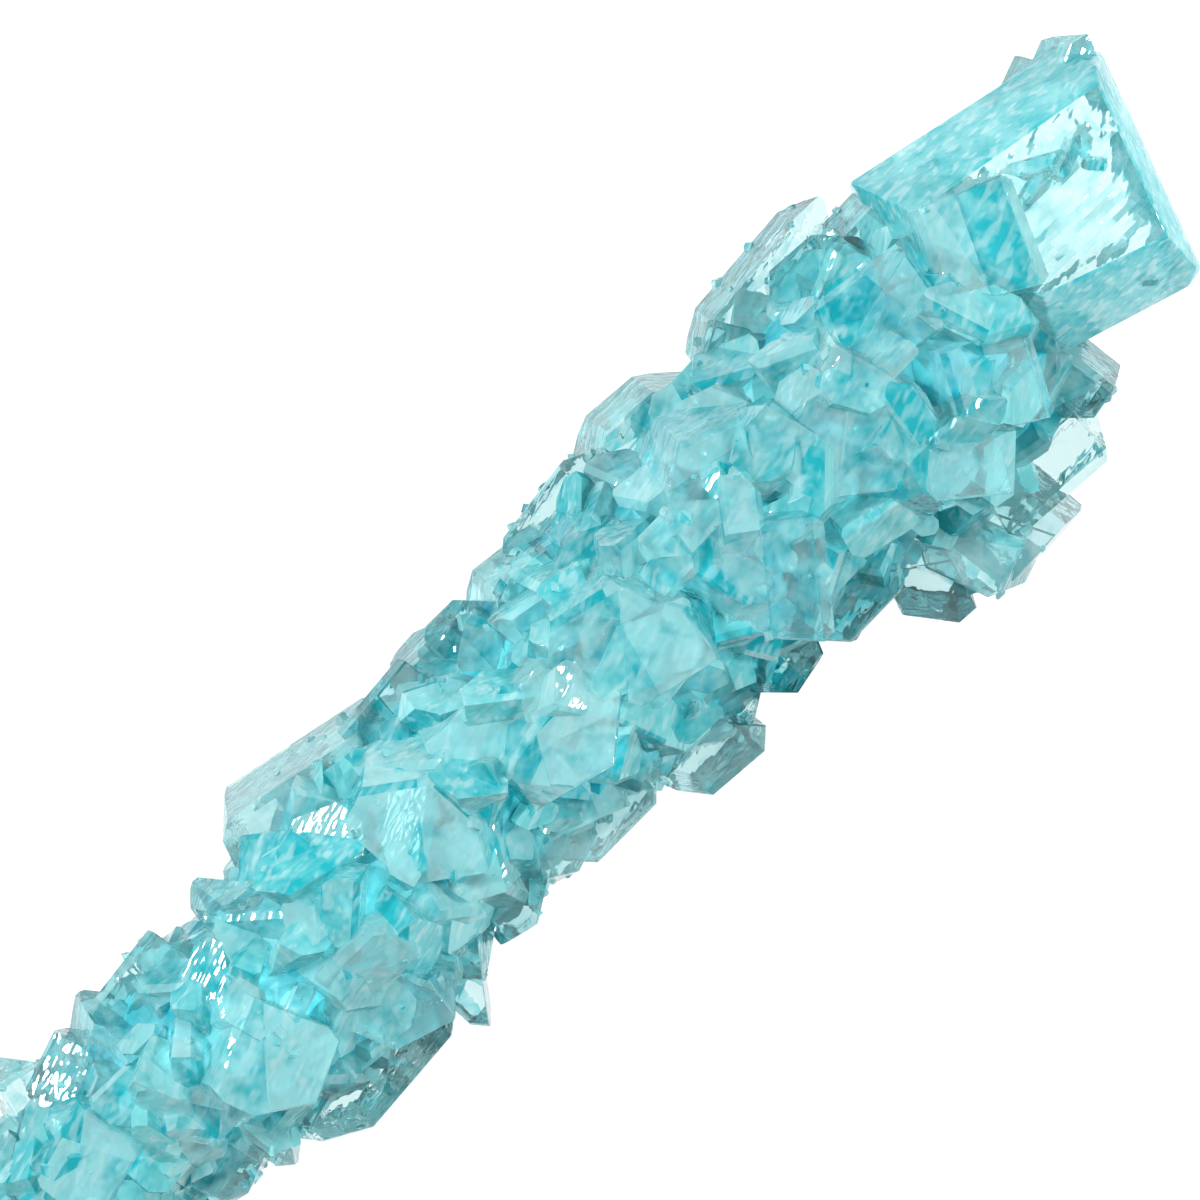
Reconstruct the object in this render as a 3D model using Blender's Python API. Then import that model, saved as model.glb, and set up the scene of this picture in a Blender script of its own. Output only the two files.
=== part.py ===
"""Rock candy stick lying on its side: a round wooden stick, half of it grown over with sugar crystals.

Sizes are in millimetres and are turned into metres by MM. Along the stick is +X, with s measured from
the free end of the handle; v runs across (+Y) and w runs up (+Z), both from the stick's own axis.
"""

import math
import random

import bmesh
import bpy
from mathutils import Euler, Matrix, Vector

MM = 0.001

TOTAL_LENGTH = 170.0
STICK_DIAMETER = 4.4
STICK_END = 148.0
STICK_ROUNDING = 0.5
BORE_GAP = 0.3
CANDY_START = 61.0
CANDY_END = 166.0
REST_DEPTH = 9.5
CORE_SHARE = 0.72
CORE_SIDES = 9
CORE_STEP = 7.0
WELD = 0.004
FILL_SEED = 41
FILL_STEP = 5.2
FILL_AROUND = 6

# How far the crystal mass reaches from the stick's axis: (s, towards +Y, towards -Y).
GIRTH = (
    (58.0, 4.6, 4.6),
    (64.0, 6.2, 6.4),
    (75.0, 7.0, 8.0),
    (84.0, 8.0, 10.0),
    (90.0, 7.6, 10.2),
    (96.0, 10.6, 10.8),
    (101.0, 9.8, 8.8),
    (108.0, 9.8, 8.8),
    (120.0, 10.6, 10.4),
    (127.0, 11.6, 9.8),
    (134.0, 11.8, 10.8),
    (143.0, 12.2, 13.6),
    (150.0, 11.0, 13.0),
    (156.0, 10.6, 8.4),
    (164.0, 8.6, 8.4),
    (170.0, 5.0, 5.0),
)

# Sugar grows as monoclinic blocks. These are the directions of the faces that run along a block, as
# degrees round its long axis: the side face, the two bevels and the broad face.
SIDE_FACE = 12.9
STEEP_BEVEL = 59.0
BROAD_FACE = 90.0
BACK_BEVEL = 129.7
# The roof faces that close a block's ends lean this far from its long axis.
END_LEAN = 39.4

# The crystals that stand out: (s, v, w, length, width, thickness, heading, pitch, roll).
# The upper edge of the stick, from the handle to the tip.
UPPER_EDGE = (
    (71.0, 6.0, 0.6, 4.8, 3.6, 4.5, 75, 8, 10),
    (74.2, 5.2, 1.4, 4.8, 3.6, 4.6, 20, -6, -20),
    (77.4, 4.4, 1.6, 5.2, 4.6, 5.2, 35, 10, 15),
    (81.6, 5.1, 1.8, 6.6, 5.4, 6.5, 8, -5, -12),
    (84.4, 5.4, 0.2, 4.6, 3.6, 4.4, 62, 0, 20),
    (87.0, 4.9, 1.0, 4.6, 4.0, 5.0, 45, 12, -8),
    (89.6, 4.6, 3.0, 5.4, 3.6, 5.0, 80, 15, 12),
    (92.4, 6.2, 0.8, 4.6, 3.0, 4.4, 60, -10, 25),
    (98.4, 7.3, 0.0, 11.6, 5.8, 7.0, -11, 3, 8),
    (105.7, 7.0, 0.2, 6.4, 5.0, 6.0, 6, -6, -14),
    (110.3, 8.2, -0.6, 5.6, 4.4, 5.2, 58, 6, 12),
    (113.8, 8.0, 0.8, 6.8, 4.0, 4.6, 0, 4, -18),
    (118.2, 7.0, 2.0, 7.4, 5.4, 6.0, -6, -8, 14),
    (122.4, 9.3, -0.4, 9.6, 3.8, 5.0, 8, 5, -10),
    (124.0, 6.4, 3.6, 7.2, 4.4, 4.6, 3, -6, 16),
    (132.2, 9.7, -0.6, 10.8, 4.6, 5.6, -4, -3, 12),
    (138.4, 8.5, 1.4, 4.8, 4.4, 4.6, 30, 8, -15),
    (142.9, 10.3, -0.6, 12.6, 4.6, 5.8, 5, 4, 9),
    (146.7, 8.5, 2.0, 7.6, 4.6, 5.2, -3, -7, -16),
    (150.4, 7.4, 0.0, 5.6, 5.2, 6.0, 2, 5, 10),
)

# The lower edge of the stick, from the handle to the tip.
LOWER_EDGE = (
    (72.2, -4.1, 1.4, 5.4, 5.2, 5.0, -30, 8, 12),
    (75.6, -5.1, 0.2, 6.6, 3.8, 5.0, -80, -6, -14),
    (78.5, -5.0, 1.2, 6.4, 4.4, 6.0, -74, 8, 18),
    (81.4, -6.0, 0.6, 6.8, 3.6, 5.0, -82, 4, -10),
    (88.0, -7.5, -1.0, 15.4, 5.6, 6.4, 5, -3, 10),
    (96.9, -8.4, -0.2, 7.2, 3.2, 4.6, -87, 6, -12),
    (94.0, -4.8, 4.6, 7.8, 6.2, 5.4, -16, 10, 14),
    (99.9, -5.5, 1.2, 6.6, 3.6, 5.0, -84, -8, 16),
    (103.4, -5.6, 0.4, 7.4, 5.4, 5.6, 86, 5, -8),
    (107.9, -5.8, 1.0, 6.4, 4.2, 5.0, 68, -6, 14),
    (111.6, -6.6, -0.2, 9.2, 5.4, 5.8, 1, 4, -10),
    (119.0, -8.0, -0.4, 8.2, 5.2, 5.6, -4, -5, 12),
    (123.8, -7.0, 0.6, 5.4, 3.6, 4.8, 84, 8, -14),
    (126.6, -7.3, 0.2, 5.4, 4.6, 5.2, 12, -6, 10),
    (132.8, -7.9, -0.4, 8.6, 5.6, 6.2, 2, 5, -12),
    (138.4, -10.0, 0.0, 7.0, 5.0, 5.4, -52, -8, 16),
    (141.2, -11.6, 0.2, 7.6, 4.6, 5.0, -70, 6, -8),
    (144.6, -11.3, -0.6, 8.0, 5.8, 6.0, -84, -4, 12),
    (149.3, -10.2, -0.2, 10.4, 7.6, 7.2, -3, 4, -9),
    (154.0, -7.0, 0.4, 7.4, 3.6, 5.4, -84, 6, 14),
)

# The broad crystals that face up, from the handle to the tip.
UPPER_SIDE = (
    (72.4, 0.4, 5.2, 6.2, 5.2, 4.8, 15, 6, -12),
    (84.8, -2.6, 5.6, 7.2, 6.6, 6.0, 25, -8, 10),
    (80.0, -1.6, 4.9, 6.6, 4.6, 5.0, -55, 12, 8),
    (103.6, 1.4, 6.4, 9.0, 6.6, 6.0, -35, 5, 12),
    (112.6, -1.6, 7.0, 8.4, 7.0, 5.6, 40, -10, -8),
    (121.4, 1.0, 7.2, 10.0, 7.6, 6.4, -12, 7, 10),
    (130.6, -2.8, 7.4, 8.6, 7.2, 6.4, 52, 8, -12),
    (132.8, 4.6, 6.8, 8.2, 6.0, 5.8, -20, -10, 14),
    (140.6, 0.6, 8.0, 9.4, 7.4, 6.6, 18, 6, 8),
    (143.8, -5.4, 6.4, 8.2, 6.6, 6.0, -38, -8, -14),
    (148.6, -3.4, 7.6, 6.8, 6.2, 5.8, 64, 9, 12),
    (154.4, 2.8, 7.2, 8.0, 6.6, 6.6, 66, -6, -6),
    (147.6, 3.6, 7.4, 7.6, 6.2, 6.0, -8, 8, -12),
)

# The broad crystals on the underside, which the mass rests on towards the handle.
UNDERSIDE = (
    (79.0, 0.8, -7.0, 8.6, 6.6, 6.0, 22, 3, -4),
    (100.0, -1.2, -7.4, 8.4, 6.4, 6.0, -32, -4, 5),
)

# The big block that ends the stick: its middle, and its faces as (direction in plan, distance, lean).
TIP_MIDDLE = (159.6, 0.8, 0.2)
TIP_TOP = 8.2
TIP_SLOPE = 5.0
TIP_FACES = (
    (78.5, 8.7, 14.0),
    (38.0, 11.5, 9.0),
    (-19.5, 8.3, 11.0),
    (-78.0, 10.5, 16.0),
    (-106.5, 8.4, 12.0),
    (-160.0, 7.2, 10.0),
    (166.0, 9.4, 12.0),
)
# The small crystals that sit on the tip block's upper corner and its lower end.
TIP_KNOBS = (
    (167.4, 6.8, 1.2, 4.4, 3.2, 4.0, 70, 10, 15),
    (165.2, 7.6, -1.0, 3.6, 2.6, 3.2, 20, -8, 25),
)


def clear_scene():
    for obj in list(bpy.data.objects):
        bpy.data.objects.remove(obj, do_unlink=True)


def mesh_object(name, bm):
    mesh = bpy.data.meshes.new(name)
    bm.to_mesh(mesh)
    bm.free()
    obj = bpy.data.objects.new(name, mesh)
    bpy.context.scene.collection.objects.link(obj)
    return obj


def material(name, colour, roughness):
    made = bpy.data.materials.new(name)
    made.use_nodes = True
    shader = made.node_tree.nodes["Principled BSDF"]
    shader.inputs["Base Color"].default_value = (*colour, 1.0)
    shader.inputs["Roughness"].default_value = roughness
    return made


def girth_at(s, around):
    """How far the crystal mass reaches at this place along the stick, in this direction round it."""
    s = min(max(s, GIRTH[0][0]), GIRTH[-1][0])
    for before, after in zip(GIRTH, GIRTH[1:]):
        if s <= after[0]:
            break
    share = (s - before[0]) / (after[0] - before[0])
    plus, minus = (before[side] + (after[side] - before[side]) * share for side in (1, 2))
    return (plus + minus) / 2 + (plus - minus) / 2 * math.cos(around)


def trim(bm, normal, distance):
    """Cuts away what lies past a plane square to normal at this distance, and closes the cut."""
    side = Vector(normal).normalized()
    geometry = bm.verts[:] + bm.edges[:] + bm.faces[:]
    found = bmesh.ops.bisect_plane(
        bm, geom=geometry, plane_co=side * distance, plane_no=side, clear_outer=True
    )
    rim = [item for item in found["geom_cut"] if isinstance(item, bmesh.types.BMEdge)]
    if len(rim) > 2:
        bmesh.ops.contextual_create(bm, geom=rim)


def zone_normal(degrees):
    angle = math.radians(degrees)
    return Vector((0.0, math.cos(angle), math.sin(angle)))


def crystal(length, width, thickness, rng):
    """One sugar crystal along its own X: six or eight long faces, each end closed by sloping faces."""
    bm = bmesh.new()
    bmesh.ops.create_cube(bm, size=4 * max(length, width, thickness))
    for sign in (1, -1):
        trim(bm, zone_normal(BROAD_FACE) * sign, thickness / 2 * rng.uniform(0.9, 1.08))
        trim(bm, zone_normal(SIDE_FACE) * sign, width / 2 * rng.uniform(0.9, 1.08))
        corner = 0.5 * math.hypot(width, thickness)
        trim(bm, zone_normal(STEEP_BEVEL) * sign, corner * rng.uniform(0.72, 0.9))
        if rng.random() < 0.6:
            trim(bm, zone_normal(BACK_BEVEL) * sign, corner * rng.uniform(0.7, 0.86))
    for end in (1, -1):
        lean = math.radians(END_LEAN)
        reach = length / 2 * math.cos(lean) + width * rng.uniform(0.0, 0.16)
        skew = rng.uniform(-0.26, 0.26) * width
        for sign in (1, -1):
            normal = Vector((end * math.cos(lean), 0, 0)) + zone_normal(SIDE_FACE) * math.sin(lean) * sign
            trim(bm, normal, reach + skew * sign)
        tilt = math.radians(rng.uniform(-32, 32))
        trim(bm, (end * math.cos(tilt), 0, math.sin(tilt)), length / 2 * math.cos(tilt))
    bmesh.ops.remove_doubles(bm, verts=bm.verts, dist=0.02)
    return bm


def place(bm, centre, turn):
    """Turns a crystal, moves it to its place beside the stick's axis and turns its sizes into metres."""
    bm.transform(Matrix.Scale(MM, 4) @ Matrix.Translation(Vector(centre)) @ turn.to_4x4())
    bmesh.ops.recalc_face_normals(bm, faces=bm.faces)


def chosen_crystals():
    made = []
    rows = UPPER_EDGE + LOWER_EDGE + UPPER_SIDE + UNDERSIDE + TIP_KNOBS
    for number, row in enumerate(rows):
        s, v, w, length, width, thickness, heading, pitch, roll = row
        bm = crystal(length, width, thickness, random.Random(number))
        turn = (
            Matrix.Rotation(math.radians(heading), 3, "Z")
            @ Matrix.Rotation(-math.radians(pitch), 3, "Y")
            @ Matrix.Rotation(math.radians(roll), 3, "X")
        )
        place(bm, (s, v, w), turn)
        made.append(mesh_object(f"grown_{number}", bm))
    return made


def tip_block():
    """The big crystal at the tip, wider than it is long, with bevelled edges above and below."""
    bm = bmesh.new()
    bmesh.ops.create_cube(bm, size=60)
    slope = math.radians(TIP_SLOPE)
    for sign in (1, -1):
        trim(bm, (math.sin(slope), 0, sign * math.cos(slope)), TIP_TOP)
        for direction, distance, lean in TIP_FACES:
            angle = math.radians(direction)
            rise = math.tan(math.radians(lean)) * sign
            trim(bm, (math.cos(angle), math.sin(angle), rise), distance * math.cos(math.radians(lean)))
            steep = math.tan(math.radians(lean + 36)) * sign
            far = (distance + 2.6) * math.cos(math.radians(lean + 36)) + 1.4
            trim(bm, (math.cos(angle), math.sin(angle), steep), far)
    bmesh.ops.remove_doubles(bm, verts=bm.verts, dist=0.02)
    place(bm, TIP_MIDDLE, Matrix.Identity(3))
    return mesh_object("tip_block", bm)


def filling_crystals():
    """Smaller crystals all round the stick between the chosen ones, set in by the local girth."""
    rng = random.Random(FILL_SEED)
    made = []
    s = CANDY_START + 2.0
    while s < CANDY_END - 8.0:
        turn_start = rng.uniform(0, 360)
        for step in range(FILL_AROUND):
            around = math.radians(turn_start + 360 / FILL_AROUND * (step + rng.uniform(-0.2, 0.2)))
            here = s + rng.uniform(-1.6, 1.6)
            outward = Vector((0, math.cos(around), math.sin(around)))
            length = rng.uniform(4.6, 8.2)
            width = rng.uniform(3.4, 5.6)
            thickness = rng.uniform(4.4, 6.2)
            sideways = 0.13 * abs(math.cos(around))
            reach = girth_at(here, around) * (0.98 - sideways) - thickness * 0.5
            bm = crystal(length, width, thickness, rng)
            facing = outward.to_track_quat("Z", "X").to_matrix()
            spin = Matrix.Rotation(rng.uniform(0, math.pi), 3, "Z")
            lean = Euler((rng.uniform(-0.45, 0.45), rng.uniform(-0.45, 0.45), 0)).to_matrix()
            place(bm, Vector((here, 0, 0)) + outward * reach, facing @ lean @ spin)
            made.append(mesh_object(f"fill_{len(made)}", bm))
        s += FILL_STEP
    return made


def core():
    """The uneven body the crystals grow out of, wrapped round the stick."""
    rng = random.Random(FILL_SEED)
    bm = bmesh.new()
    rings = []
    count = int((CANDY_END - CANDY_START - 4) / CORE_STEP)
    for index in range(count + 1):
        s = CANDY_START + CORE_STEP * index
        ring = []
        for side in range(CORE_SIDES):
            angle = 2 * math.pi * (side + 0.5 * (index % 2)) / CORE_SIDES
            radius = girth_at(s, angle) * CORE_SHARE * rng.uniform(0.93, 1.05)
            ring.append(bm.verts.new((s, radius * math.cos(angle), radius * math.sin(angle))))
        rings.append(ring)
    for first, second in zip(rings, rings[1:]):
        for side in range(CORE_SIDES):
            after = (side + 1) % CORE_SIDES
            bm.faces.new((first[side], first[after], second[after], second[side]))
    bm.faces.new(rings[0])
    bm.faces.new(rings[-1])
    bmesh.ops.triangulate(bm, faces=bm.faces)
    place(bm, (0, 0, 0), Matrix.Identity(3))
    return mesh_object("crystals", bm)


def boolean(obj, operation, others):
    """Joins or cuts with a set of helpers, then takes the helpers out of the scene."""
    helpers = bpy.data.collections.new("helpers")
    bpy.context.scene.collection.children.link(helpers)
    for other in others:
        bpy.context.scene.collection.objects.unlink(other)
        helpers.objects.link(other)
    modifier = obj.modifiers.new(operation, "BOOLEAN")
    modifier.operation = operation
    modifier.operand_type = "COLLECTION"
    modifier.collection = helpers
    modifier.solver = "EXACT"
    bpy.context.view_layer.objects.active = obj
    bpy.ops.object.modifier_apply(modifier=modifier.name)
    for other in others:
        bpy.data.objects.remove(other, do_unlink=True)
    bpy.data.collections.remove(helpers)


def keep_outside(obj):
    """Keeps the largest closed surface: sugar fills any pocket the crystals close off."""
    bm = bmesh.new()
    bm.from_mesh(obj.data)
    left = set(bm.verts)
    groups = []
    while left:
        seeds = [left.pop()]
        group = set(seeds)
        while seeds:
            for edge in seeds.pop().link_edges:
                for vert in edge.verts:
                    if vert not in group:
                        group.add(vert)
                        seeds.append(vert)
        left -= group
        groups.append(group)
    groups.sort(key=len)
    for group in groups[:-1]:
        bmesh.ops.delete(bm, geom=list(group), context="VERTS")
    bmesh.ops.triangulate(bm, faces=bm.faces)
    bmesh.ops.remove_doubles(bm, verts=bm.verts, dist=WELD * MM)
    bm.to_mesh(obj.data)
    bm.free()


def bore_cutter():
    """The channel the stick sits in, open where the candy ends."""
    bm = bmesh.new()
    start = CANDY_START - 25
    end = STICK_END + BORE_GAP
    bmesh.ops.create_cone(
        bm,
        cap_ends=True,
        segments=32,
        radius1=STICK_DIAMETER / 2 + BORE_GAP,
        radius2=STICK_DIAMETER / 2 + BORE_GAP,
        depth=end - start,
        matrix=Matrix.Rotation(math.pi / 2, 4, "Y"),
    )
    place(bm, ((start + end) / 2, 0, 0), Matrix.Identity(3))
    return mesh_object("bore", bm)


def rest_cutter():
    """What the mass stands on is flat: everything lower than the rest is cut off level."""
    bm = bmesh.new()
    depth = 12.0
    bmesh.ops.create_cube(bm, size=1.0)
    bm.transform(Matrix.Diagonal((TOTAL_LENGTH, 60.0, depth, 1.0)))
    place(bm, (TOTAL_LENGTH / 2 + 25, 0, -REST_DEPTH - depth / 2), Matrix.Identity(3))
    return mesh_object("rest", bm)


def stick():
    bm = bmesh.new()
    bmesh.ops.create_cone(
        bm,
        cap_ends=True,
        segments=32,
        radius1=STICK_DIAMETER / 2,
        radius2=STICK_DIAMETER / 2,
        depth=STICK_END,
        matrix=Matrix.Rotation(math.pi / 2, 4, "Y"),
    )
    rims = [edge for edge in bm.edges if any(len(face.verts) > 4 for face in edge.link_faces)]
    bmesh.ops.bevel(bm, geom=rims, offset=STICK_ROUNDING, segments=3, profile=0.5, affect="EDGES")
    place(bm, (STICK_END / 2, 0, 0), Matrix.Identity(3))
    return mesh_object("stick", bm)


def settle(objects):
    """Moves the whole so that the middle of its underside is at the origin."""
    points = [obj.matrix_world @ vert.co for obj in objects for vert in obj.data.vertices]
    low = [min(point[axis] for point in points) for axis in range(3)]
    high = [max(point[axis] for point in points) for axis in range(3)]
    shift = Vector(((low[0] + high[0]) / 2, (low[1] + high[1]) / 2, low[2]))
    for obj in objects:
        obj.data.transform(Matrix.Translation(-shift))


clear_scene()
candy = core()
boolean(candy, "UNION", [tip_block()] + chosen_crystals() + filling_crystals())
keep_outside(candy)
boolean(candy, "DIFFERENCE", [rest_cutter(), bore_cutter()])
keep_outside(candy)
wood = stick()
settle([candy, wood])
candy.data.materials.append(material("sugar", (0.22, 0.60, 0.64), 0.12))
wood.data.materials.append(material("wood", (0.72, 0.53, 0.33), 0.6))
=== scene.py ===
"""Looks of a rock candy stick: a wooden stick grown over with pale blue sugar crystals, lying down."""

import math
import random

import bpy
from mathutils import Euler, Matrix, Vector, noise
from mathutils.bvhtree import BVHTree


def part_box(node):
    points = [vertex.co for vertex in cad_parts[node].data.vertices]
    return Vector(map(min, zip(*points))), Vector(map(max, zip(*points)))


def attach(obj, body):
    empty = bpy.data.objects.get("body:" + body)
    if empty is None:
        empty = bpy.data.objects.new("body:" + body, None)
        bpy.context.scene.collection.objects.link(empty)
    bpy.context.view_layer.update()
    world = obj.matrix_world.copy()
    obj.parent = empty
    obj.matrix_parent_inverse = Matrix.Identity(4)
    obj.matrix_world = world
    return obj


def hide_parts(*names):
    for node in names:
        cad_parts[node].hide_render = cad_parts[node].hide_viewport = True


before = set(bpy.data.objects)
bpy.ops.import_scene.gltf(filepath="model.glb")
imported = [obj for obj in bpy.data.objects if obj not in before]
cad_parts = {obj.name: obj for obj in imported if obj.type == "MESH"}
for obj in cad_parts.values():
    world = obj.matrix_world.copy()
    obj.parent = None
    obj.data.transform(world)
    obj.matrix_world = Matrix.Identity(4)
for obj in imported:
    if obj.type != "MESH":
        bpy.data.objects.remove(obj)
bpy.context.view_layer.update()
bpy.ops.object.select_all(action="DESELECT")


# ---------------------------------------------------------------------------------------------------
# The stick: a plain round stick of birch, cut to length with its ends tumbled round. The sugar has
# grown on to its upper part, and the lower part stays bare to hold.
MM = 0.001
STICK_LENGTH = 148.0
STICK_RADIUS = 2.2
STICK_END_ROUNDING = 0.6
BIRCH_PALE = (0.80, 0.62, 0.40, 1.0)
BIRCH_DARK = (0.58, 0.38, 0.20, 1.0)

stick_low, stick_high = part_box("stick")
stick_start = Vector((stick_low[0], (stick_low[1] + stick_high[1]) / 2, (stick_low[2] + stick_high[2]) / 2))


def on_stick(along, across, above):
    """A place given in millimetres: along the stick from its bare end, across it, and above its axis."""
    return stick_start + Vector((along, across, above)) * MM


def name_piece(name):
    """Names the object just modelled and leaves it at the origin, with its place in its mesh."""
    piece = bpy.context.object
    piece.name = name
    piece.data.name = name
    bpy.ops.object.transform_apply(location=True, rotation=True, scale=True)
    return piece


def new_material(name):
    made = bpy.data.materials.new(name)
    made.use_nodes = True
    nodes = made.node_tree.nodes
    return made, nodes, made.node_tree.links, nodes["Principled BSDF"]


def add_node(nodes, kind, **values):
    """Adds a node, and sets its properties and its inputs by their names."""
    node = nodes.new(kind)
    for key, value in values.items():
        if hasattr(node, key):
            setattr(node, key, value)
        else:
            node.inputs[key.replace("_", " ")].default_value = value
    return node


def birch():
    made, nodes, links, shader = new_material("birch")
    place = add_node(nodes, "ShaderNodeTexCoord")
    stretch = add_node(nodes, "ShaderNodeMapping", Scale=(40.0, 900.0, 900.0))
    links.new(place.outputs["Object"], stretch.inputs["Vector"])
    grain = add_node(nodes, "ShaderNodeTexNoise", Scale=1.0, Detail=6.0, Roughness=0.6)
    links.new(stretch.outputs["Vector"], grain.inputs["Vector"])
    colour = add_node(nodes, "ShaderNodeValToRGB")
    colour.color_ramp.elements[0].position = 0.35
    colour.color_ramp.elements[0].color = BIRCH_DARK
    colour.color_ramp.elements[1].position = 0.62
    colour.color_ramp.elements[1].color = BIRCH_PALE
    links.new(grain.outputs["Fac"], colour.inputs["Fac"])
    links.new(colour.outputs["Color"], shader.inputs["Base Color"])
    bump = add_node(nodes, "ShaderNodeBump", Strength=0.25, Distance=0.0002)
    links.new(grain.outputs["Fac"], bump.inputs["Height"])
    links.new(bump.outputs["Normal"], shader.inputs["Normal"])
    shader.inputs["Roughness"].default_value = 0.62
    return made


bpy.ops.mesh.primitive_cylinder_add(
    vertices=48,
    radius=STICK_RADIUS * MM,
    depth=STICK_LENGTH * MM,
    location=on_stick(STICK_LENGTH / 2, 0, 0),
    rotation=(0, math.radians(90), 0),
)
stick = name_piece("wooden_stick")
rounding = stick.modifiers.new("rounding", "BEVEL")
rounding.width = STICK_END_ROUNDING * MM
rounding.segments = 4
rounding.limit_method = "ANGLE"
bpy.ops.object.modifier_apply(modifier=rounding.name)
bpy.ops.object.shade_smooth_by_angle(angle=math.radians(40))
stick.data.materials.append(birch())
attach(stick, "root")
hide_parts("stick")


# ---------------------------------------------------------------------------------------------------
# The crystal shapes: sugar grows as slanted blocks whose sides follow a few fixed directions, given
# in degrees. Each shape is cut from a cube along them, one unit long, wide and thick, and is copied
# at the size and lie of every crystal of the candy.
SIDE_FACE = 12.9
STEEP_BEVEL = 59.0
BROAD_FACE = 90.0
BACK_BEVEL = 129.7
END_LEAN = 30.0
SHAPE_SEED = 7
GROWTH_STEP = 0.045
EDGE_ANGLE = math.radians(12)
RESTING_GAP = 0.00003
FACE_SEED = 59
FACE_DYE = (-0.18, 0.22)


def slice_off(normal, distance):
    """Cuts the block in edit mode square to normal at this distance from its middle, and caps it."""
    side = Vector(normal).normalized()
    bpy.ops.mesh.select_all(action="SELECT")
    bpy.ops.mesh.bisect(plane_co=side * distance, plane_no=side, use_fill=True, clear_outer=True)


def select_facing(piece, direction, closeness=0.97):
    """In edit mode, selects the largest face that looks this way."""
    bpy.ops.mesh.select_all(action="DESELECT")
    bpy.ops.object.mode_set(mode="OBJECT")
    facing = [face for face in piece.data.polygons if face.normal.dot(direction) > closeness]
    for face in sorted(facing, key=lambda face: face.area)[-1:]:
        face.select = True
    bpy.ops.object.mode_set(mode="EDIT")


def round_the_block(degrees):
    angle = math.radians(degrees)
    return Vector((0, math.cos(angle), math.sin(angle)))


def crystal_shape(rng, pointed, stepped):
    bpy.ops.mesh.primitive_cube_add(size=3.0, location=(0, 0, 0))
    shape = bpy.context.object
    bpy.ops.object.mode_set(mode="EDIT")
    for sign in (1, -1):
        slice_off(round_the_block(BROAD_FACE) * sign, 0.5)
        slice_off(round_the_block(SIDE_FACE) * sign, 0.5)
        slice_off(round_the_block(STEEP_BEVEL) * sign, rng.uniform(0.565, 0.625))
        if rng.random() < 0.6:
            slice_off(round_the_block(BACK_BEVEL) * sign, rng.uniform(0.6, 0.72))
    lean = math.radians(END_LEAN)
    for end in (1, -1):
        reach = 0.5 * math.cos(lean) + (rng.uniform(0.0, 0.06) if pointed else rng.uniform(0.1, 0.2))
        skew = rng.uniform(-0.14, 0.14)
        for sign in (1, -1):
            roof = Vector((end * math.cos(lean), 0, 0)) + round_the_block(SIDE_FACE) * math.sin(lean) * sign
            slice_off(roof, reach + skew * sign)
        tilt = math.radians(rng.uniform(-16, 16))
        slice_off((end * math.cos(tilt), rng.uniform(-0.12, 0.12), math.sin(tilt)), 0.5 * math.cos(tilt))
    bpy.ops.mesh.select_all(action="SELECT")
    bpy.ops.mesh.remove_doubles(threshold=0.01)
    bpy.ops.mesh.normals_make_consistent(inside=False)
    if stepped:
        for upward in (1, -1):
            turn = rng.uniform(-0.5, 0.5) + rng.choice((0, math.pi / 2, math.pi))
            across = Vector((math.cos(turn), math.sin(turn), 0))
            bpy.ops.mesh.select_all(action="SELECT")
            bpy.ops.mesh.bisect(plane_co=across * rng.uniform(-0.05, 0.12), plane_no=across)
            select_facing(shape, Vector((0, 0, upward)))
            bpy.ops.mesh.inset(thickness=rng.uniform(0.01, 0.02), depth=GROWTH_STEP * rng.choice((1, -1)))
    bpy.ops.object.mode_set(mode="OBJECT")
    return shape


shape_rng = random.Random(SHAPE_SEED)
shapes = [crystal_shape(shape_rng, kind % 3 == 0, False) for kind in range(8)]
stepped_shapes = [crystal_shape(shape_rng, kind % 3 == 0, True) for kind in range(5)]


face_rng = random.Random(FACE_SEED)


def grow(shape, middle, turn, size, clear, dye):
    """One crystal: a copy of a shape at its size in millimetres, with how clear and how dyed it is."""
    crystal = shape.copy()
    crystal.data = shape.data.copy()
    bpy.context.scene.collection.objects.link(crystal)
    crystal.matrix_world = Matrix.Translation(middle) @ turn.to_4x4() @ Matrix.Diagonal((*size, 1 / MM)) * MM
    crystal.data.transform(crystal.matrix_world)
    crystal.matrix_world = Matrix.Identity(4)
    faces = len(crystal.data.polygons)
    kept = crystal.data.attributes.new("clear", "FLOAT", "FACE")
    kept.data.foreach_set("value", [clear] * faces)
    kept = crystal.data.attributes.new("dye", "FLOAT", "FACE")
    kept.data.foreach_set("value", [dye + face_rng.uniform(*FACE_DYE) for _ in range(faces)])
    return crystal


def fuse(crystals, name, edge_rounding=0.0):
    """Joins crystals into one piece, edges slightly rounded as sugar's are, and flat where it rests."""
    bpy.ops.object.select_all(action="DESELECT")
    for crystal in crystals:
        crystal.select_set(True)
    bpy.context.view_layer.objects.active = crystals[0]
    bpy.ops.object.join()
    piece = name_piece(name)
    if edge_rounding:
        rounding = piece.modifiers.new("rounding", "BEVEL")
        rounding.width = edge_rounding * MM
        rounding.segments = 1
        rounding.limit_method = "ANGLE"
        rounding.angle_limit = EDGE_ANGLE
        bpy.ops.object.modifier_apply(modifier=rounding.name)
    for corner in piece.data.vertices:
        corner.co.z = max(corner.co.z, RESTING_GAP)
    return piece


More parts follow.
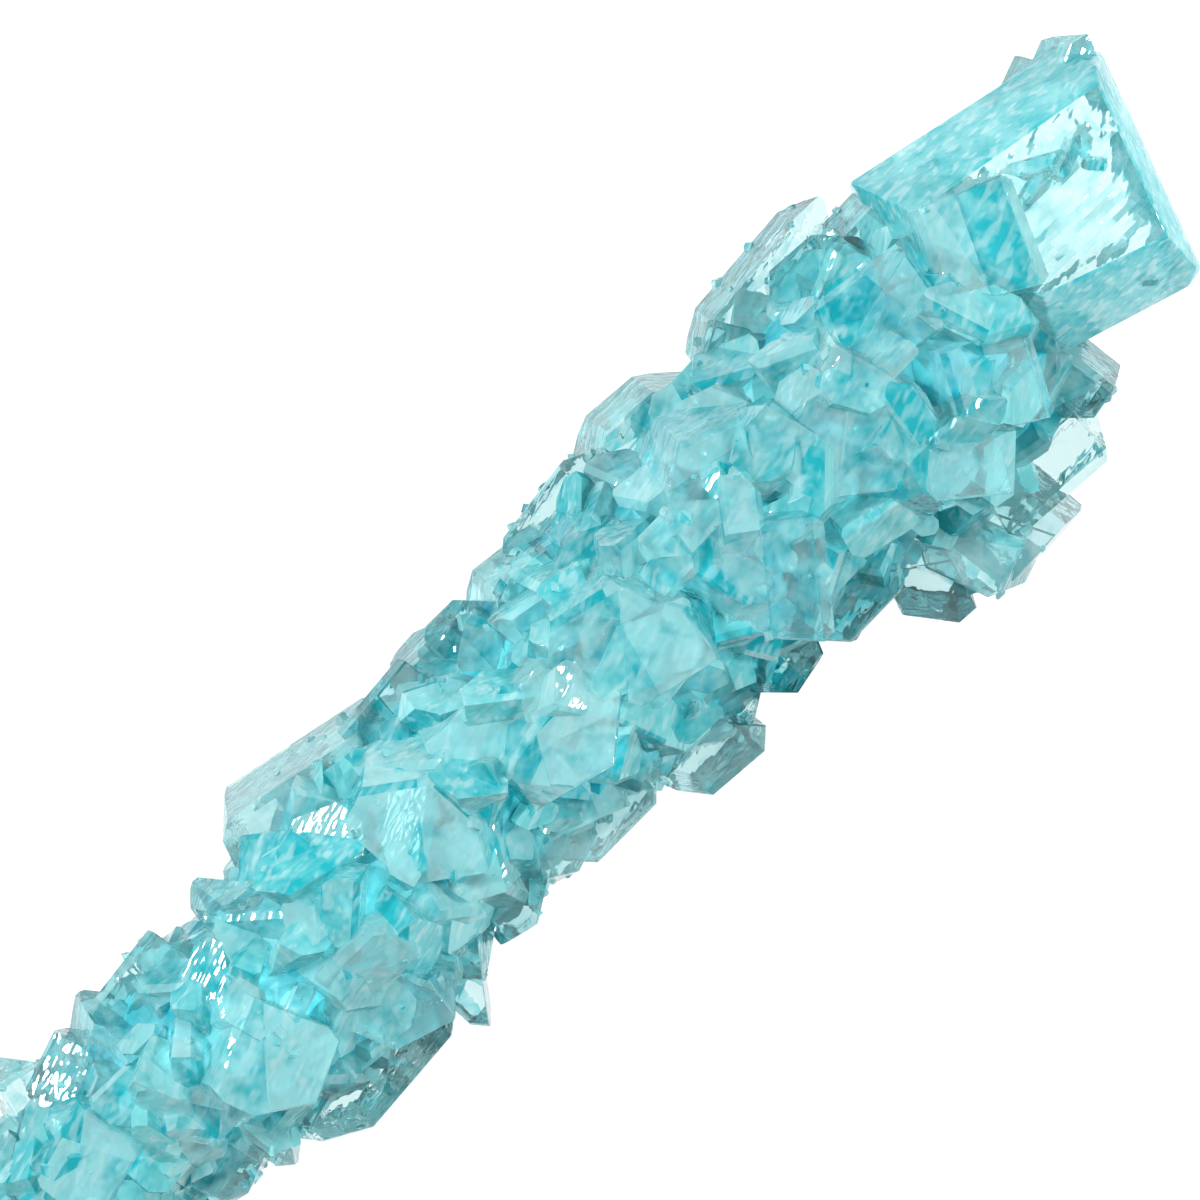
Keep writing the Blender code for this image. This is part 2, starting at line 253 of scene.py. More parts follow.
# ---------------------------------------------------------------------------------------------------
# The milky body: the first sugar to set on the stick, a cloudy mass of fine crystals dyed blue.
# It shows through the clear crystals that stand on it.
GIRTH = (
    (58.0, 4.6, 4.6),
    (64.0, 6.2, 6.4),
    (75.0, 7.0, 8.0),
    (84.0, 8.0, 10.0),
    (90.0, 7.6, 10.2),
    (96.0, 10.6, 10.8),
    (101.0, 9.8, 8.8),
    (108.0, 9.8, 8.8),
    (120.0, 10.6, 10.4),
    (127.0, 11.6, 9.8),
    (134.0, 11.8, 10.8),
    (143.0, 12.2, 13.6),
    (150.0, 11.0, 13.0),
    (156.0, 10.6, 8.4),
    (164.0, 8.6, 8.4),
    (170.0, 5.0, 5.0),
)
CANDY_START = 61.0
CANDY_END = 166.0
REST_DEPTH = 9.5
BODY_SHARE = 0.74
BODY_END = 150.0
BODY_RINGS = 48
BODY_SEED = 11
SUGAR_IOR = 1.54
BODY_PALE = (0.2, 0.74, 0.80, 1.0)
BODY_DYED = (0.02, 0.48, 0.60, 1.0)


def girth_at(along, around):
    """How far the candy reaches from the stick's axis at a place along it, in a direction round it."""
    along = min(max(along, GIRTH[0][0]), GIRTH[-1][0])
    for before, after in zip(GIRTH, GIRTH[1:]):
        if along <= after[0]:
            break
    share = (along - before[0]) / (after[0] - before[0])
    plus, minus = (before[side] + (after[side] - before[side]) * share for side in (1, 2))
    return (plus + minus) / 2 + (plus - minus) / 2 * math.cos(around)


def milky_sugar():
    made, nodes, links, shader = new_material("milky_sugar")
    place = add_node(nodes, "ShaderNodeTexCoord")
    spots = add_node(nodes, "ShaderNodeTexNoise", Scale=260.0, Detail=5.0, Roughness=0.62)
    links.new(place.outputs["Object"], spots.inputs["Vector"])
    colour = add_node(nodes, "ShaderNodeValToRGB")
    colour.color_ramp.elements[0].position = 0.42
    colour.color_ramp.elements[0].color = BODY_PALE
    colour.color_ramp.elements[1].position = 0.64
    colour.color_ramp.elements[1].color = BODY_DYED
    links.new(spots.outputs["Fac"], colour.inputs["Fac"])
    links.new(colour.outputs["Color"], shader.inputs["Base Color"])
    shader.inputs["Roughness"].default_value = 0.35
    shader.inputs["IOR"].default_value = SUGAR_IOR
    return made


bpy.ops.mesh.primitive_cylinder_add(
    vertices=22,
    radius=1.0,
    depth=1.0,
    location=(0, 0, 0),
    rotation=(0, math.radians(90), 0),
)
body = bpy.context.object
bpy.ops.object.transform_apply(rotation=True)
for place in range(1, BODY_RINGS):
    bpy.ops.object.mode_set(mode="EDIT")
    bpy.ops.mesh.select_all(action="SELECT")
    bpy.ops.mesh.bisect(plane_co=(place / BODY_RINGS - 0.5, 0, 0), plane_no=(1, 0, 0))
    bpy.ops.object.mode_set(mode="OBJECT")
body_rng = random.Random(BODY_SEED)
for corner in body.data.vertices:
    along = CANDY_START + 1 + (BODY_END - CANDY_START) * (corner.co.x + 0.5)
    around = math.atan2(corner.co.z, corner.co.y)
    reach = girth_at(along, around) * BODY_SHARE * body_rng.uniform(0.9, 1.08)
    corner.co = on_stick(along, reach * math.cos(around), reach * math.sin(around))
    corner.co.z = max(corner.co.z, RESTING_GAP)
body = name_piece("milky_body")
body.data.materials.append(milky_sugar())
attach(body, "root")
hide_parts("crystals")


# ---------------------------------------------------------------------------------------------------
# The packed crystals: hundreds of crystals a few millimetres long, grown side by side all round the
# stick and locked into each other, in place of the imported crystals, which are hidden.
PACKED_SEED = 23
PACKED_STEP = 2.9
PACKED_AROUND = 13
PACKED_END = 152.0
SUGAR_CLEAR = (0.79, 0.965, 0.97, 1.0)
SUGAR_PALE = (0.12, 0.69, 0.72, 1.0)
# The whitish colour of the streaks: partly frost on the sugar, partly painted glint.
SUGAR_FROST_AND_GLINT = (0.72, 0.93, 0.94, 1.0)
SUGAR_DYED = (0.02, 0.50, 0.57, 1.0)
LIGHT_THROUGH = (0.62, 0.75, 0.76, 1.0)
SPECK_SHARE = 0.75
GRAIN_TURN = 20.0


def crystal_sugar(name, roughness):
    """Sugar as clear and as blue as its crystal's own values say, with specks of dye, a rippled skin, and
    whitish streaks that are partly frost and partly painted glints.
    """
    made, nodes, links, shader = new_material(name)
    place = add_node(nodes, "ShaderNodeTexCoord")
    clear = add_node(nodes, "ShaderNodeAttribute", attribute_name="clear")
    dye = add_node(nodes, "ShaderNodeAttribute", attribute_name="dye")

    specks = add_node(nodes, "ShaderNodeTexNoise", Scale=560.0, Detail=2.0, Roughness=0.7)
    links.new(place.outputs["Object"], specks.inputs["Vector"])
    dye_sum = add_node(nodes, "ShaderNodeMath", operation="MULTIPLY_ADD")
    links.new(specks.outputs["Fac"], dye_sum.inputs[0])
    dye_sum.inputs[1].default_value = SPECK_SHARE
    links.new(dye.outputs["Fac"], dye_sum.inputs[2])
    dyed = add_node(nodes, "ShaderNodeMapRange", From_Min=0.37, From_Max=0.68)
    links.new(dye_sum.outputs["Value"], dyed.inputs["Value"])

    tint = add_node(nodes, "ShaderNodeMix", data_type="RGBA")
    tint.inputs["A"].default_value = SUGAR_PALE
    tint.inputs["B"].default_value = SUGAR_CLEAR
    links.new(clear.outputs["Fac"], tint.inputs["Factor"])
    colour = add_node(nodes, "ShaderNodeMix", data_type="RGBA")
    links.new(dyed.outputs["Result"], colour.inputs["Factor"])
    links.new(tint.outputs["Result"], colour.inputs["A"])
    colour.inputs["B"].default_value = SUGAR_DYED

    grain = add_node(nodes, "ShaderNodeMapping", vector_type="TEXTURE", Scale=(2.6, 1.0, 1.0))
    grain.inputs["Rotation"].default_value = (0, 0, math.radians(GRAIN_TURN))
    links.new(place.outputs["Object"], grain.inputs["Vector"])
    # Fine streaks along the grain: they ripple the skin by bump, and mix a whitish colour into it, partly as
    # frost on the sugar and partly as painted glints standing in for small highlights.
    lines = add_node(nodes, "ShaderNodeTexNoise", Scale=1500.0, Detail=1.0, Roughness=0.6)
    links.new(grain.outputs["Vector"], lines.inputs["Vector"])
    frost_and_glint_mask = add_node(nodes, "ShaderNodeMapRange", From_Min=0.54, From_Max=0.66, To_Max=0.4)
    links.new(lines.outputs["Fac"], frost_and_glint_mask.inputs["Value"])
    frost_and_glint = add_node(nodes, "ShaderNodeMix", data_type="RGBA")
    links.new(frost_and_glint_mask.outputs["Result"], frost_and_glint.inputs["Factor"])
    links.new(colour.outputs["Result"], frost_and_glint.inputs["A"])
    frost_and_glint.inputs["B"].default_value = SUGAR_FROST_AND_GLINT
    links.new(frost_and_glint.outputs["Result"], shader.inputs["Base Color"])
    links.new(clear.outputs["Fac"], shader.inputs["Transmission Weight"])

    bump = add_node(nodes, "ShaderNodeBump", Strength=0.8, Distance=0.00015)
    links.new(lines.outputs["Fac"], bump.inputs["Height"])
    links.new(bump.outputs["Normal"], shader.inputs["Normal"])
    shader.inputs["Roughness"].default_value = roughness
    shader.inputs["IOR"].default_value = SUGAR_IOR

    rays = nodes.new("ShaderNodeLightPath")
    lit_through = add_node(nodes, "ShaderNodeBsdfTransparent", Color=LIGHT_THROUGH)
    surface = nodes.new("ShaderNodeMixShader")
    links.new(rays.outputs["Is Shadow Ray"], surface.inputs["Fac"])
    links.new(shader.outputs["BSDF"], surface.inputs[1])
    links.new(lit_through.outputs["BSDF"], surface.inputs[2])
    links.new(surface.outputs["Shader"], nodes["Material Output"].inputs["Surface"])
    return made


packed_rng = random.Random(PACKED_SEED)
packed = []
along = CANDY_START + 1.0
while along < PACKED_END:
    first = packed_rng.uniform(0, 360)
    for step in range(PACKED_AROUND):
        around = math.radians(first + 360 / PACKED_AROUND * (step + packed_rng.uniform(-0.3, 0.3)))
        here = along + packed_rng.uniform(-1.4, 1.4)
        length = packed_rng.uniform(2.8, 7.0)
        width = length * packed_rng.uniform(0.45, 0.75)
        thickness = packed_rng.uniform(2.6, 5.0)
        outward = Vector((0, math.cos(around), math.sin(around)))
        reach = girth_at(here, around) * (0.98 - 0.17 * abs(math.cos(around))) - thickness / 2
        reach = min(reach, (REST_DEPTH - thickness / 2) / max(0.2, -outward.z))
        facing = outward.to_track_quat("Z", "X").to_matrix()
        lean = Euler((packed_rng.uniform(-0.6, 0.6), packed_rng.uniform(-0.6, 0.6), 0)).to_matrix()
        spin = Matrix.Rotation(packed_rng.uniform(0, math.pi), 3, "Z")
        middle = on_stick(here, reach * outward.y, reach * outward.z)
        clear = packed_rng.uniform(0.15, 0.65)
        dye = packed_rng.uniform(-0.05, 0.16)
        shape = packed_rng.choice(shapes)
        packed.append(grow(shape, middle, facing @ lean @ spin, (length, width, thickness), clear, dye))
    along += PACKED_STEP
packed_piece = fuse(packed, "packed_crystals", 0.06)
packed_piece.data.materials.clear()
packed_piece.data.materials.append(crystal_sugar("packed_sugar", 0.06))
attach(packed_piece, "root")
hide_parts("crystals")


# ---------------------------------------------------------------------------------------------------
# The edge crystals: the big clear blades and blocks that stand out on both sides of the candy, grown
# where nothing was in their way. Each row: along, across and above the stick, length, width and
# thickness in millimetres, then heading, pitch and roll in degrees.
UPPER_EDGE = (
    (71.0, 6.0, 0.6, 4.8, 3.6, 4.5, 75, 8, 10),
    (74.2, 5.2, 1.4, 4.8, 3.6, 4.6, 20, -6, -20),
    (77.4, 4.4, 1.6, 5.2, 4.6, 5.2, 35, 10, 15),
    (81.6, 5.1, 1.8, 6.6, 5.4, 6.5, 8, -5, -12),
    (84.4, 5.4, 0.2, 4.6, 3.6, 4.4, 62, 0, 20),
    (87.0, 4.9, 1.0, 4.6, 4.0, 5.0, 45, 12, -8),
    (89.6, 4.6, 3.0, 5.4, 3.6, 5.0, 80, 15, 12),
    (92.4, 6.2, 0.8, 4.6, 3.0, 4.4, 60, -10, 25),
    (98.4, 7.0, 0.0, 11.6, 5.8, 7.0, -11, 3, 8),
    (105.7, 6.7, 0.2, 6.4, 5.0, 6.0, 6, -6, -14),
    (110.3, 7.8, -0.6, 5.6, 4.4, 5.2, 58, 6, 12),
    (113.8, 7.7, 0.8, 6.8, 4.0, 4.6, 0, 4, -18),
    (118.2, 6.7, 2.0, 7.4, 5.4, 6.0, -6, -8, 14),
    (122.4, 9.0, -0.4, 9.6, 3.8, 5.0, 8, 5, -10),
    (124.0, 6.1, 3.6, 7.2, 4.4, 4.6, 3, -6, 16),
    (132.2, 9.3, -0.6, 10.8, 4.6, 5.6, -4, -3, 12),
    (138.4, 8.2, 1.4, 4.8, 4.4, 4.6, 30, 8, -15),
    (142.9, 10.0, -0.6, 12.6, 4.6, 5.8, 5, 4, 9),
    (146.7, 8.2, 2.0, 7.6, 4.6, 5.2, -3, -7, -16),
    (150.4, 7.4, 0.0, 5.6, 5.2, 6.0, 2, 5, 10),
)
LOWER_EDGE = (
    (72.2, -4.1, 1.4, 5.4, 5.2, 5.0, -30, 8, 12),
    (75.6, -5.1, 0.2, 6.6, 3.8, 5.0, -80, -6, -14),
    (78.5, -5.0, 1.2, 6.4, 4.4, 6.0, -74, 8, 18),
    (81.4, -6.0, 0.6, 6.8, 3.6, 5.0, -82, 4, -10),
    (88.0, -7.2, -1.0, 14.4, 5.6, 6.4, 5, -3, 10),
    (96.9, -8.4, -0.2, 7.2, 3.2, 4.6, -87, 6, -12),
    (94.0, -4.8, 4.6, 7.8, 6.2, 5.4, -16, 10, 14),
    (99.9, -5.5, 1.2, 6.6, 3.6, 5.0, -84, -8, 16),
    (103.4, -5.3, 0.4, 7.4, 5.4, 5.6, 86, 5, -8),
    (107.9, -5.5, 1.0, 6.4, 4.2, 5.0, 68, -6, 14),
    (111.6, -6.3, -0.2, 9.2, 5.4, 5.8, 1, 4, -10),
    (119.0, -7.7, -0.4, 8.2, 5.2, 5.6, -4, -5, 12),
    (123.8, -6.7, 0.6, 5.4, 3.6, 4.8, 84, 8, -14),
    (126.6, -7.0, 0.2, 5.4, 4.6, 5.2, 12, -6, 10),
    (132.8, -7.6, -0.4, 8.6, 5.6, 6.2, 2, 5, -12),
    (138.4, -10.0, 0.0, 7.0, 5.0, 5.4, -52, -8, 16),
    (141.2, -11.6, 0.2, 7.6, 4.6, 5.0, -70, 6, -8),
    (144.6, -11.3, -0.6, 8.0, 5.8, 6.0, -84, -4, 12),
    (149.0, -9.9, -0.2, 9.0, 6.8, 7.2, -3, 4, -9),
    (154.0, -7.0, 0.4, 7.4, 3.6, 5.4, -84, 6, 14),
)


def lie(heading, pitch, roll):
    """How a crystal lies: the way it points round the upright, its nose up, and its roll."""
    return (
        Matrix.Rotation(math.radians(heading), 3, "Z")
        @ Matrix.Rotation(-math.radians(pitch), 3, "Y")
        @ Matrix.Rotation(math.radians(roll), 3, "X")
    )


def grow_rows(rows, seed, clear, dye):
    rng = random.Random(seed)
    made = []
    for along, across, above, length, width, thickness, heading, pitch, roll in rows:
        crystal = grow(
            rng.choice(stepped_shapes),
            on_stick(along, across, above),
            lie(heading, pitch, roll),
            (length, width, thickness),
            rng.uniform(*clear),
            rng.uniform(*dye),
        )
        made.append(crystal)
    return made


EDGE_SEED = 3
EDGE_CLEAR = (0.72, 0.97)
EDGE_DYE = (-0.1, 0.08)
edge_crystals = grow_rows(UPPER_EDGE + LOWER_EDGE, EDGE_SEED, EDGE_CLEAR, EDGE_DYE)
edge_piece = fuse(edge_crystals, "edge_crystals", 0.12)
edge_piece.data.materials.clear()
edge_piece.data.materials.append(crystal_sugar("edge_sugar", 0.03))
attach(edge_piece, "root")
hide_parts("crystals")


# ---------------------------------------------------------------------------------------------------
# The broad crystals: the larger ones that face up, cloudier than the edge crystals. They are grown
# from the same stepped shapes, and each row gives one crystal in the same order as the edges.
UPPER_SIDE = (
    (72.4, 0.4, 5.2, 6.2, 5.2, 4.8, 15, 6, -12),
    (84.8, -2.6, 5.6, 7.2, 6.6, 6.0, 25, -8, 10),
    (80.0, -1.6, 4.9, 6.6, 4.6, 5.0, -55, 12, 8),
    (103.6, 1.4, 6.4, 9.0, 6.6, 6.0, -35, 5, 12),
    (112.6, -1.6, 7.0, 8.4, 7.0, 5.6, 40, -10, -8),
    (121.4, 1.0, 7.2, 10.0, 7.6, 6.4, -12, 7, 10),
    (130.6, -2.8, 7.4, 8.6, 7.2, 6.4, 52, 8, -12),
    (132.8, 4.6, 6.8, 8.2, 6.0, 5.8, -20, -10, 14),
    (140.6, 0.6, 8.0, 9.4, 7.4, 6.6, 18, 6, 8),
    (143.8, -5.4, 6.4, 8.2, 6.6, 6.0, -38, -8, -14),
    (148.6, -3.4, 7.6, 6.8, 6.2, 5.8, 64, 9, 12),
    (154.4, 2.8, 7.2, 8.0, 6.6, 6.6, 66, -6, -6),
    (147.6, 3.6, 7.4, 7.6, 6.2, 6.0, -8, 8, -12),
)
BROAD_SEED = 5
BROAD_CLEAR = (0.4, 0.75)
BROAD_DYE = (0.0, 0.12)
broad_crystals = grow_rows(UPPER_SIDE, BROAD_SEED, BROAD_CLEAR, BROAD_DYE)
broad_piece = fuse(broad_crystals, "broad_crystals", 0.1)
broad_piece.data.materials.clear()
broad_piece.data.materials.append(crystal_sugar("broad_sugar", 0.05))
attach(broad_piece, "root")
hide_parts("crystals")


# ---------------------------------------------------------------------------------------------------
# The sugar grit: small grains that settled on the candy last, in its hollows and on its faces.
GRIT_SEED = 31
GRIT_COUNT = 500
GRIT_SIZE = 0.9
grit_rng = random.Random(GRIT_SEED)
grown_so_far = []
for piece in (packed_piece, broad_piece, edge_piece):
    graph = bpy.context.evaluated_depsgraph_get()
    grown_so_far.append(BVHTree.FromObject(piece, graph))
grit = []
while len(grit) < GRIT_COUNT:
    along = grit_rng.uniform(CANDY_START, CANDY_END - 8)
    around = grit_rng.uniform(0, 2 * math.pi)
    outward = Vector((grit_rng.uniform(-0.3, 0.3), math.cos(around), math.sin(around))).normalized()
    start = on_stick(along, 0, 0) + outward * 25 * MM
    hits = [tree.ray_cast(start, -outward) for tree in grown_so_far]
    hits = [hit for hit in hits if hit[0] is not None]
    if not hits:
        continue
    spot, normal = min(hits, key=lambda hit: hit[3])[:2]
    size = GRIT_SIZE * grit_rng.uniform(0.35, 1.0) ** 2
    if spot.z < size * MM:
        continue
    lie_of_grain = Euler([grit_rng.uniform(0, math.pi) for _ in range(3)]).to_matrix()
    sides = (size * 1.3, size, size * 0.8)
    middle = spot - normal * size * 0.15 * MM
    grit.append(grow(grit_rng.choice(shapes), middle, lie_of_grain, sides, grit_rng.uniform(0.3, 0.9), 0.0))
grit_piece = fuse(grit, "sugar_grit")
grit_piece.data.materials.clear()
grit_piece.data.materials.append(crystal_sugar("grit_sugar", 0.04))
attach(grit_piece, "root")
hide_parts("crystals")


# ---------------------------------------------------------------------------------------------------
# The end block: one big crystal across the tip of the candy, with a ledge and low growth ridges over its
# top.
# Its faces are made clear or blue by the way they look: the flat top clear enough to look through and
# lighter, the bevelled sides and the steeper ridge faces cloudier and bluer.
BLOCK_MIDDLE = (159.6, 0.8, 0.2)
BLOCK_HALF_HEIGHT = 8.0
BLOCK_BELT = 1.6
BLOCK_SLOPE = 4.0
# Each side: the way it faces, how far out its belt stands, and how far its bevel runs in, in millimetres.
BLOCK_SIDES = (
    (78.5, 8.9, 3.9),
    (38.0, 11.6, 2.4),
    (-19.5, 8.45, 2.2),
    (-78.0, 10.7, 1.6),
    (-106.5, 8.5, 3.6),
    (-160.0, 7.4, 2.0),
    (166.0, 9.5, 1.6),
)
BLOCK_LEDGE = (1.1, -4.0)
LEDGE_STEP = 0.35
RELIEF_MARGIN = 0.5
RIM_FADE = 1.6
RELIEF_STEP = 0.42
RIDGE_TURNS = (55.0, -6.0)
RIDGE_HEIGHTS = (1.0, 0.6)
# The top and the bevels are set apart only by which way their faces look: the flat top clear and lighter,
# the bevels cloudier and bluer.
BEVEL_CLEAR = 0.2
BEVEL_TINT = 0.17
TOP_CLEAR = 0.95
TOP_TINT = -0.06
TOP_FLATNESS = 0.999
RIDGE_CLEAR = 0.45


def select_top(piece, direction):
    """In edit mode, selects every face that looks this way."""
    bpy.ops.mesh.select_all(action="DESELECT")
    bpy.ops.object.mode_set(mode="OBJECT")
    for face in piece.data.polygons:
        face.select = face.normal.dot(direction) > TOP_FLATNESS
    bpy.ops.object.mode_set(mode="EDIT")


bpy.ops.object.select_all(action="DESELECT")
bpy.ops.mesh.primitive_cube_add(size=60.0, location=(0, 0, 0))
block = bpy.context.object
bpy.ops.object.mode_set(mode="EDIT")
for sign in (1, -1):
    slope = math.radians(BLOCK_SLOPE)
    slice_off((math.sin(slope), 0, sign * math.cos(slope)), BLOCK_HALF_HEIGHT)
    for direction, distance, run_in in BLOCK_SIDES:
        angle = math.radians(direction)
        rise = BLOCK_HALF_HEIGHT - BLOCK_BELT
        side = Vector((math.cos(angle) * rise, math.sin(angle) * rise, sign * run_in))
        slice_off(side, (distance * rise + BLOCK_BELT * run_in) / side.length)
for direction, distance, _ in BLOCK_SIDES:
    angle = math.radians(direction)
    slice_off((math.cos(angle), math.sin(angle), 0), distance)
bpy.ops.object.mode_set(mode="OBJECT")
rounding = block.modifiers.new("rounding", "BEVEL")
rounding.width = 0.16
rounding.segments = 2
rounding.limit_method = "ANGLE"
rounding.angle_limit = EDGE_ANGLE
bpy.ops.object.modifier_apply(modifier=rounding.name)
# Faces that look straight up take the top's values, all other faces the bevel's.
flatness = [abs(face.normal.z) for face in block.data.polygons]
for name, on_bevel, on_top in (("clear", BEVEL_CLEAR, TOP_CLEAR), ("dye", BEVEL_TINT, TOP_TINT)):
    kept = block.data.attributes.new(name, "FLOAT", "FACE")
    kept.data.foreach_set("value", [on_top if flat > 0.99 else on_bevel for flat in flatness])
ledge_at, ledge_turn = BLOCK_LEDGE
ledge_side = Vector((-math.sin(math.radians(ledge_turn)), math.cos(math.radians(ledge_turn)), 0.0))
upward = Vector((math.sin(math.radians(BLOCK_SLOPE)), 0, math.cos(math.radians(BLOCK_SLOPE))))
bpy.ops.object.mode_set(mode="EDIT")
select_facing(block, upward, TOP_FLATNESS)
bpy.ops.mesh.inset(thickness=RELIEF_MARGIN, depth=0)
for axis, steps in ((Vector((1, 0, 0)), 46), (Vector((0, 1, 0)), 38)):
    for step in range(-steps // 2, steps // 2):
        select_top(block, upward)
        bpy.ops.mesh.bisect(plane_co=axis * (step + 0.5) * RELIEF_STEP, plane_no=axis)
bpy.ops.object.mode_set(mode="OBJECT")
inner = set()
for face in block.data.polygons:
    if face.normal.dot(upward) > TOP_FLATNESS:
        inner.update(face.vertices)
rim = set()
for face in block.data.polygons:
    if face.normal.dot(upward) <= TOP_FLATNESS:
        rim.update(face.vertices)
rim_corners = [block.data.vertices[index].co.copy() for index in rim & inner]
for index in inner - rim:
    corner = block.data.vertices[index]
    above_ledge = (corner.co - ledge_side * ledge_at).dot(ledge_side)
    turn = Matrix.Rotation(math.radians(-RIDGE_TURNS[above_ledge < 0]), 3, "Z")
    flat = turn @ corner.co
    flat = Vector((flat.x * 0.28, flat.y * 0.95, 3.0))
    ridge = noise.noise(flat) - 0.5 * abs(noise.noise(flat * 2.1))
    height = RIDGE_HEIGHTS[above_ledge < 0] * ridge + LEDGE_STEP * min(1.0, max(0.0, above_ledge * 2 + 0.5))
    from_rim = min((corner.co - place).length for place in rim_corners)
    corner.co += upward * height * min(1.0, from_rim / RIM_FADE)
block.data.update()
# On the top, the steeper a relief face, the less clear it is made, down to RIDGE_CLEAR.
clear_by_slope = block.data.attributes["clear"]
for face in block.data.polygons:
    if inner.issuperset(face.vertices):
        clear_by_slope.data[face.index].value = max(RIDGE_CLEAR, TOP_CLEAR - face.normal.angle(upward))
block.data.transform(Matrix.Translation(on_stick(*BLOCK_MIDDLE)) @ Matrix.Scale(MM, 4))
block_piece = name_piece("end_block")
bpy.ops.object.shade_smooth_by_angle(angle=math.radians(32))
block_piece.data.materials.append(crystal_sugar("end_sugar", 0.03))
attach(block_piece, "root")
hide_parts("crystals")


# ---------------------------------------------------------------------------------------------------
# The end ridges: small crystals grown on to the end block's top and sides, and on its upper corner.
# Each ridge: along and across the stick, length, width, height above the face, heading and dye.
BLOCK_RIDGES = (
    (159.4, 2.6, 3.4, 0.9, 0.5, 58, 0.0),
    (161.0, 3.4, 4.0, 1.2, 0.6, 66, 0.02),
    (162.6, 2.4, 3.0, 1.0, 0.5, 52, 0.03),
    (163.9, 0.9, 1.2, 0.9, 0.4, 40, 0.12),
    (161.5, -7.2, 1.4, 0.8, 0.0, 50, 0.14),
    (156.4, 8.6, 1.8, 0.7, 0.0, 80, 0.12),
)
BLOCK_KNOBS = (
    (167.6, 6.7, 1.2, 4.4, 3.0, 4.0, 70, 10, 15),
    (165.6, 7.5, -0.6, 3.4, 2.4, 3.2, 20, -8, 25),
    (163.0, 8.0, 0.4, 1.6, 1.2, 1.6, 50, 10, 5),
)
RIDGE_SEED = 17
RIDGE_THICKNESS = 1.2
RIDGE_SUGAR_CLEAR = 0.85
KNOB_SEED = 19
ridge_rng = random.Random(RIDGE_SEED)
ridges = []
block_graph = bpy.context.evaluated_depsgraph_get()
block_surface = BVHTree.FromObject(block_piece, block_graph)
for along, across, length, width, height, heading, dye in BLOCK_RIDGES:
    spot, normal = block_surface.ray_cast(on_stick(along, across, 30), Vector((0, 0, -1)))[:2]
    turn = normal.to_track_quat("Z", "X").to_matrix() @ Matrix.Rotation(math.radians(heading), 3, "Z")
    middle = spot + normal * (height - RIDGE_THICKNESS / 2) * MM
    sides = (length, width, RIDGE_THICKNESS)
    ridges.append(grow(ridge_rng.choice(shapes), middle, turn, sides, RIDGE_SUGAR_CLEAR, dye))
ridges += grow_rows(BLOCK_KNOBS, KNOB_SEED, (0.7, 0.9), (0.0, 0.03))
ridge_piece = fuse(ridges, "end_ridges", 0.05)
ridge_piece.data.materials.clear()
ridge_piece.data.materials.append(crystal_sugar("ridge_sugar", 0.05))
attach(ridge_piece, "root")
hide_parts("crystals")

for shape in shapes + stepped_shapes:
    bpy.data.objects.remove(shape, do_unlink=True)


# ---------------------------------------------------------------------------------------------------
# The studio: a white table that glows a little, a dim grey room and two small lamps, with the
# camera straight above.
FRAME_MM = 80.0
LENS = 120.0
SENSOR = 36.0
VIEW_TURN = 44.3
VIEW_MIDDLE = (121.23, 3.10, 0.0)
TABLE_LIGHT = 0.6
TABLE_SEEN = 0.8


def white_where_seen(tree, colour_strength, seen_strength):
    """Feeds an Emission or Background strength: one level for light, another for what is looked at."""
    nodes = tree.nodes
    rays = nodes.new("ShaderNodeLightPath")
    either = add_node(nodes, "ShaderNodeMath", operation="MAXIMUM")
    tree.links.new(rays.outputs["Is Camera Ray"], either.inputs[0])
    tree.links.new(rays.outputs["Is Glossy Ray"], either.inputs[1])
    any_of = add_node(nodes, "ShaderNodeMath", operation="MAXIMUM")
    tree.links.new(either.outputs["Value"], any_of.inputs[0])
    tree.links.new(rays.outputs["Is Transmission Ray"], any_of.inputs[1])
    level = add_node(nodes, "ShaderNodeMapRange", To_Min=colour_strength, To_Max=seen_strength)
    tree.links.new(any_of.outputs["Value"], level.inputs["Value"])
    return level.outputs["Result"]


bpy.ops.mesh.primitive_plane_add(size=4.0, location=(0, 0, 0))
floor = bpy.context.object
floor.name = "table"
table_material, nodes, links, shader = new_material("white_table")
shader.inputs["Base Color"].default_value = (0.4, 0.4, 0.4, 1.0)
shader.inputs["Roughness"].default_value = 0.8
shader.inputs["Emission Color"].default_value = (1, 1, 1, 1)
glow = white_where_seen(table_material.node_tree, TABLE_LIGHT, TABLE_SEEN)
links.new(glow, shader.inputs["Emission Strength"])
floor.data.materials.append(table_material)

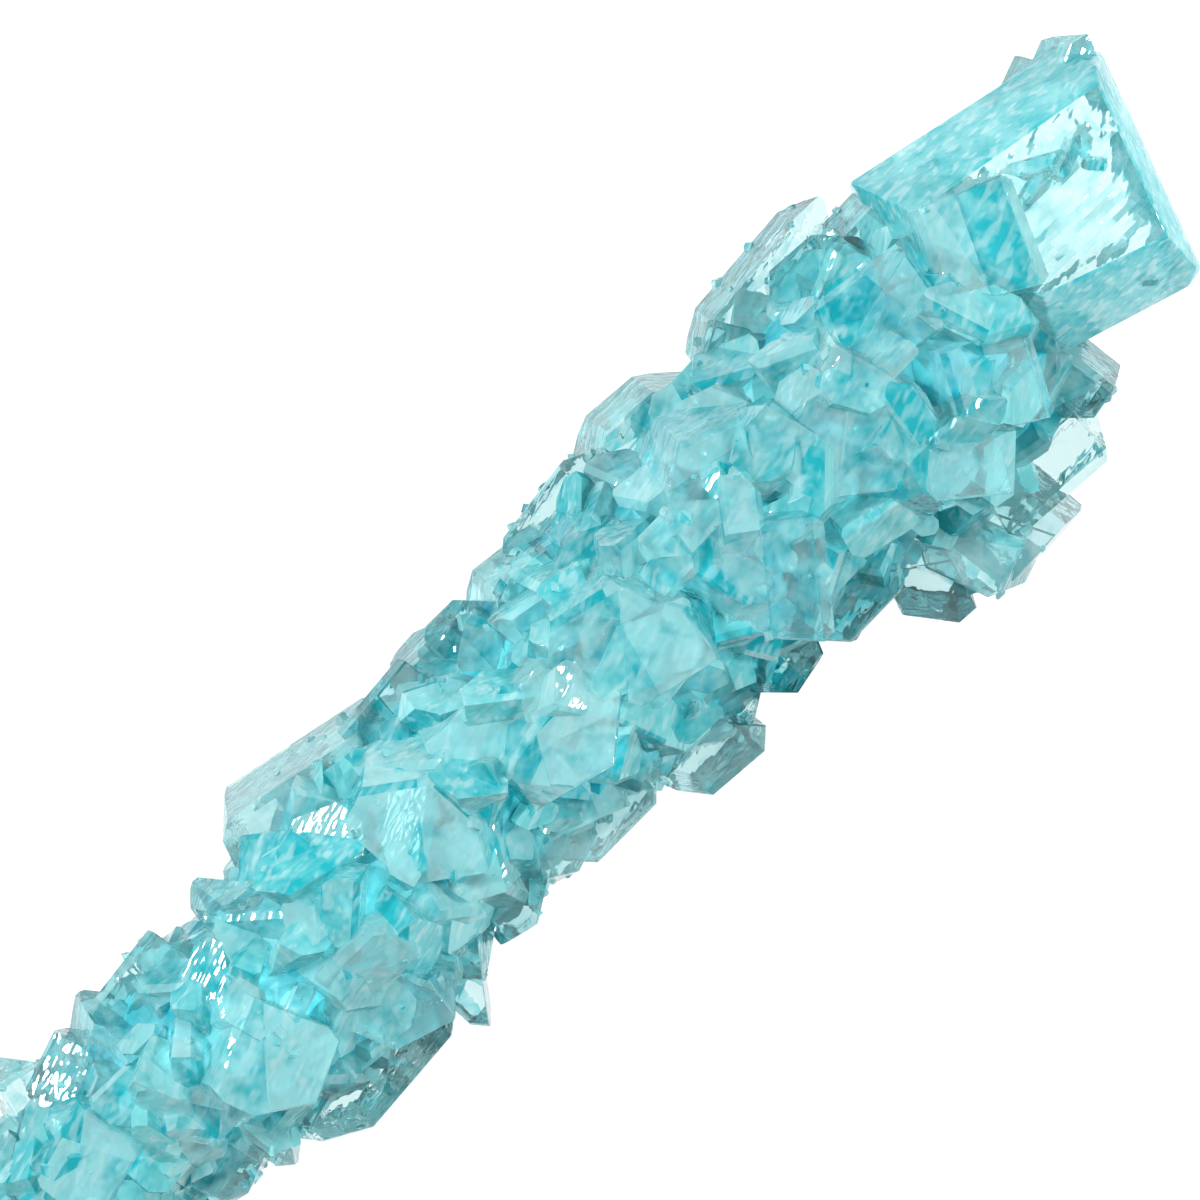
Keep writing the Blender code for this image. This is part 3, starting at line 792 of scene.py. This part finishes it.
world = bpy.data.worlds.new("studio")
bpy.context.scene.world = world
world.use_nodes = True
nodes = world.node_tree.nodes
links = world.node_tree.links
background = nodes["Background"]
direction = add_node(nodes, "ShaderNodeTexCoord")
parts = add_node(nodes, "ShaderNodeSeparateXYZ")
links.new(direction.outputs["Generated"], parts.inputs["Vector"])
room = add_node(nodes, "ShaderNodeMapRange", From_Min=0.0, From_Max=0.5, To_Min=1.05, To_Max=1.3)
links.new(parts.outputs["Z"], room.inputs["Value"])
rays = nodes.new("ShaderNodeLightPath")
level = add_node(nodes, "ShaderNodeMix", data_type="FLOAT")
links.new(rays.outputs["Is Camera Ray"], level.inputs["Factor"])
links.new(room.outputs["Result"], level.inputs["A"])
level.inputs["B"].default_value = 1.0
links.new(level.outputs["Result"], background.inputs["Strength"])


def soft_lamp(name, place, size, power):
    lamp = bpy.data.lights.new(name, "AREA")
    lamp.shape = "SQUARE"
    lamp.size = size
    lamp.energy = power
    holder = bpy.data.objects.new(name, lamp)
    bpy.context.scene.collection.objects.link(holder)
    aim = on_stick(*VIEW_MIDDLE)
    holder.location = aim + Vector(place)
    holder.rotation_euler = (-Vector(place)).to_track_quat("-Z", "Y").to_euler()


soft_lamp("key", (-0.20, 0.34, 0.38), 0.07, 2.8)
soft_lamp("fill", (0.34, -0.24, 0.34), 0.06, 2.2)

camera_data = bpy.data.cameras.new("camera")
camera_data.lens = LENS
camera_data.sensor_width = SENSOR
camera_data.clip_start = 0.01
camera = bpy.data.objects.new("camera", camera_data)
bpy.context.scene.collection.objects.link(camera)
camera.location = on_stick(*VIEW_MIDDLE) + Vector((0, 0, FRAME_MM * MM * LENS / SENSOR))
camera.rotation_euler = (0, 0, math.radians(-VIEW_TURN))
bpy.context.scene.camera = camera
bpy.context.scene.view_settings.view_transform = "Standard"
bpy.context.scene.cycles.max_bounces = 8
bpy.context.scene.cycles.diffuse_bounces = 1
bpy.context.scene.cycles.glossy_bounces = 2
bpy.context.scene.cycles.transparent_max_bounces = 4
